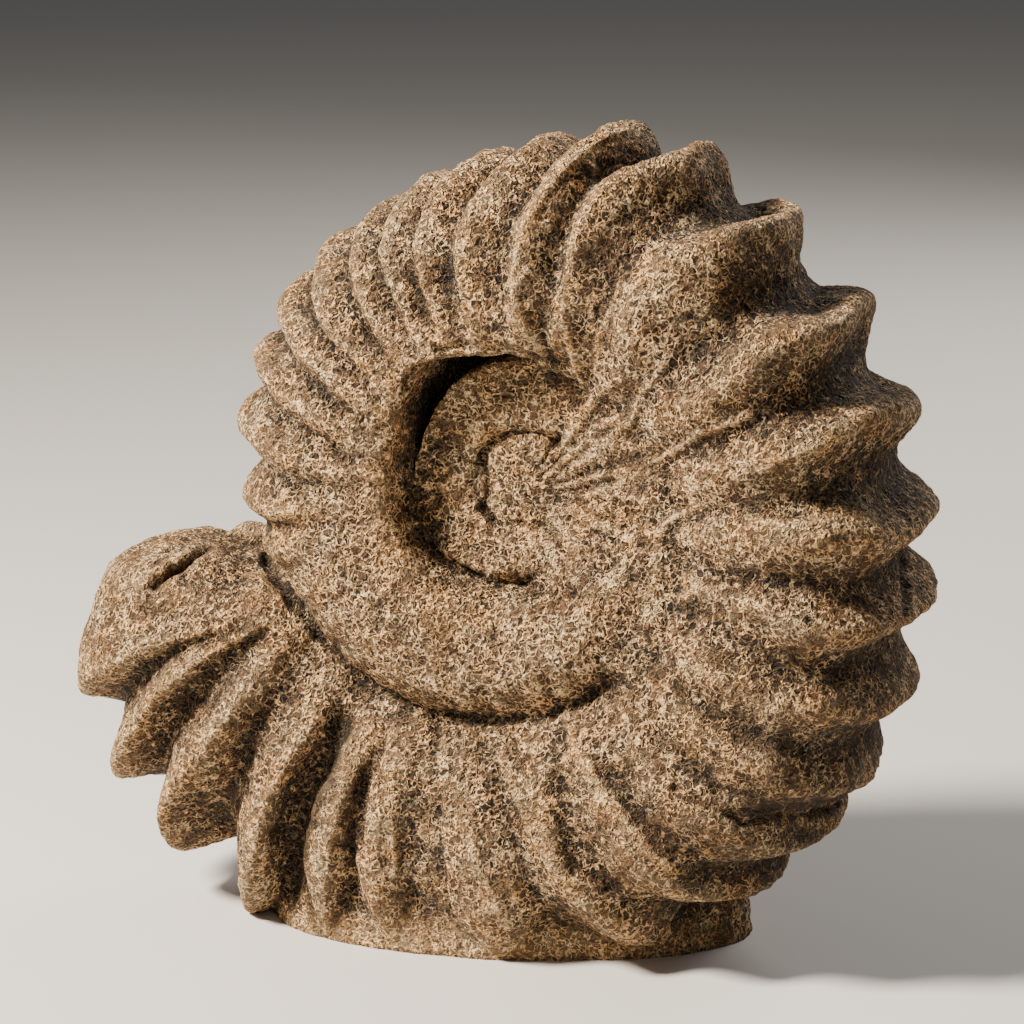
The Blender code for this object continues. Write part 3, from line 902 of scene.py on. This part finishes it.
def stone_look():
    """Dark brown stone with pale veins, strongest where the skin is worn and in the painted light of
    the coil's middle; painted shade darkens recesses, gaps and the lower right.
    """
    look = bpy.data.materials.new("veined brown stone")
    bench = Bench(look)
    place = bench.place()
    # values on the mesh: wear, painted shade in recesses and gaps, and raised veins
    worn, hollow_shade, vein = (bench.worth(name) for name in ("worn", "hollow_shade", "vein"))

    # patterns that the veins and the colours share: slow drifts over the whole stone
    wander = bench.shift(place, bench.noise(place, 360.0, 1.0, 0.5, output="Color"), 0.0042)
    broad = bench.noise(place, 24.0, 3.0, 0.6)
    patch = bench.noise(place, 85.0, 3.0, 0.6, 0.4)
    grain = bench.step(bench.noise(place, 1000.0, 1.0, 0.6), 0.38, 0.62)
    rich = bench.step(bench.noise(place, 75.0, 2.0, 0.55) + worn * 0.10, 0.42, 0.60)

    # the middle of the coil is paler, partly for richer veins and partly as painted light, and so are
    # crests and broad worn areas; recesses in painted shade are less pale
    from_middle = bench.vector("DISTANCE", {0: place, 1: VEINED_AND_LIT_MIDDLE}, 1)
    near = 1.0 - bench.step(from_middle + 0.03 * broad, *VEINED_AND_LIT_MIDDLE_FADE)
    rubbed_and_lit = bench.step(
        broad * 0.6 + 0.2 + worn * 0.40 - hollow_shade * 0.40 + near * 0.10, 0.34, 0.66)

    # veins: a net of cell edges and a finer winding line, broken up and speckled
    edge = bench.cells(wander, 330.0, feature="DISTANCE_TO_EDGE")
    halo = 1.0 - bench.step(edge, 0.12, 0.26)
    net = 1.0 - bench.step(edge, 0.03, 0.13)
    fine = bench.ridge(bench.noise(wander, 430.0, 0.0, 0.5), 0.012, 0.046)
    breaks = bench.noise(place, 240.0, 1.0, 0.5) + rubbed_and_lit * 0.12 + vein * 0.14
    broken = bench.step(breaks, 0.49, 0.63)
    web = (net * (0.30 + 0.70 * broken)).or_more(fine * (0.40 + 0.60 * broken))
    web = web * (0.48 + 0.60 * rich + 0.16 * near)
    web = (web * (0.45 + 1.0 * grain) + vein * (0.02 + 0.50 * grain)).held()

    # the skin between the veins: dark blots on brown, with a little rust; the blots spread into
    # recesses as painted shade, and the brown is quieter in the coil's middle, partly as painted
    # light
    blots = bench.noise(wander, 440.0, 1.0, 0.6)
    dark = bench.mix(bench.step(patch, 0.35, 0.65), tint(BLACK_SKIN), tint(BROWN_BLACK_SKIN))
    brown = bench.mix(bench.step(patch, 0.38, 0.62), tint(DEEP_BROWN), tint(WARM_BROWN))
    brown = bench.mix(((1.0 - rich) * 0.30 + near * 0.30).held(), brown, tint(QUIET_BROWN))
    brown = bench.mix((grain * 0.15 + halo * broken * 0.50).held(), brown, tint(EDGE_BROWN))
    body = bench.mix(bench.step(blots + rubbed_and_lit * 0.11 - hollow_shade * 0.10, 0.50, 0.59), dark, brown)
    rust = bench.step(bench.noise(place, 46.0, 3.0), 0.56, 0.70)
    body = bench.mix(rust * 0.14, body, tint(RUST))

    # veins over the skin, then painted shade in recesses and the deep gap, pale worn crests, and
    # painted shade on the lower right, partly a stain, and on the side turned away from the light
    pale = bench.mix(bench.step(patch, 0.3, 0.7), tint(CREAM_VEIN), tint(PALE_VEIN))
    colour = bench.mix((web * (0.80 + 0.20 * rubbed_and_lit)).held(), body, pale)
    colour = bench.mix((hollow_shade * 0.50).held(), colour, tint(RECESS_SHADE_BROWN))
    colour = bench.mix((worn * 0.15).held(), colour, pale)
    # painted shade low on the right, partly a real stain, and over the side away from the light
    across = bench.part(place, 0) + 0.04 * broad
    upward = bench.part(place, 2) + 0.04 * broad
    low_shade_and_stain = bench.step(across, *SHADE_AND_STAIN_ACROSS) * (1.0 - bench.step(upward, *SHADE_AND_STAIN_UPWARD))
    lee_shade = bench.step(across, *LEE_SHADE_ACROSS)
    shade = (low_shade_and_stain * (0.30 + 0.30 * (1.0 - rich)) + lee_shade * 0.14).held()
    colour = bench.mix(shade, colour, tint(SHADE_AND_STAIN_BROWN))

    # small round pits in patches
    pits = bench.step(0.13 - bench.cells(place, 170.0), 0.0, 0.05) * bench.step(broad, 0.45, 0.6)
    colour = bench.mix(pits * 0.8, colour, tint(PIT_BROWN))

    bench.link(colour, bench.shader.inputs["Base Color"])
    bench.link(0.90 - 0.15 * web, bench.shader.inputs["Roughness"])
    bench.shader.inputs["Specular IOR Level"].default_value = 0.3
    height = net.or_more(fine) * (0.45 + 1.0 * grain) * 0.42 + blots * 2.2
    bump = bench.node(
        "ShaderNodeBump", {}, {"Strength": 1.0, "Distance": BUMP_DEPTH, "Height": height})
    bench.link(bump, bench.shader.inputs["Normal"])
    return look


# ------------------------------------------------------------------ wear and painted shade
def blur_over_edges(values, starts, ends, count, rounds):
    """Move each point's value half way to the mean of its neighbours', a number of times."""
    edges = np.maximum(np.bincount(starts, minlength=count) + np.bincount(ends, minlength=count), 1)
    for _ in range(rounds):
        total = np.bincount(starts, values[ends], count) + np.bincount(ends, values[starts], count)
        values = 0.5 * values + 0.5 * total / edges
    return values


def mark_wear_and_shade(stone):
    """Note on each point how far it stands out of the skin around it, as wear, and how far it lies in
    it, as painted shade; cut strokes and the deep gap get painted shade too, and narrow raised
    strokes are noted as veins.
    """
    points, normals = points_of(stone), normals_of(stone)
    count = len(points)
    pairs = np.empty(len(stone.data.edges) * 2, dtype=np.int64)
    stone.data.edges.foreach_get("vertices", pairs)
    starts, ends = pairs[0::2], pairs[1::2]
    worn, hollow_shade = np.zeros(count), np.zeros(count)
    # standing out of the skin counts as wear; lying in it is noted as painted shade
    for rounds, full in WEAR_AND_SHADE_SCALES:
        around = np.stack([
            blur_over_edges(points[:, k], starts, ends, count, rounds) for k in range(3)
        ], axis=-1)
        proud = np.einsum("ij,ij->i", points - around, normals) / full
        worn = np.maximum(worn, np.clip(proud, 0, 1))
        hollow_shade = np.maximum(hollow_shade, np.clip(-proud, 0, 1))
    vein = np.zeros(count)
    # deep cut strokes get painted shade, the deepest as strong as the gap's; narrow raised ones are
    # veins
    for lift, breadth, path in STROKES:
        near, ease = under_stroke(points, breadth, path)
        if lift < HOLLOW_STROKE:
            shade = GAP_SHADE if lift < DEEP_STROKE else 1.0
            hollow_shade[near] = np.maximum(hollow_shade[near], ease * shade)
        elif lift > 0 and breadth < VEIN_STROKE:
            vein[near] = np.maximum(vein[near], ease)
    # find the deep gap again with its floor lifted half way back, to paint shade in it and keep wear
    # out of it
    points[:, 1] -= 0.5 * RIM_GROOVE * MM
    gap = rim_gap(points)
    for name, values in (
        ("worn", worn * (1 - gap)), ("hollow_shade", np.maximum(hollow_shade, gap * GAP_SHADE)), ("vein", vein),
    ):
        values = blur_over_edges(values, starts, ends, count, MARK_BLUR)
        layer = stone.data.attributes.new(name, "FLOAT", "POINT")
        layer.data.foreach_set("value", values.astype(np.float32))


make_camera()
make_floor()
make_light()
stone = make_stone()
mark_wear_and_shade(stone)
stone.data.materials.clear()
stone.data.materials.append(stone_look())
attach(stone, "root")
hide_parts("ammonite")
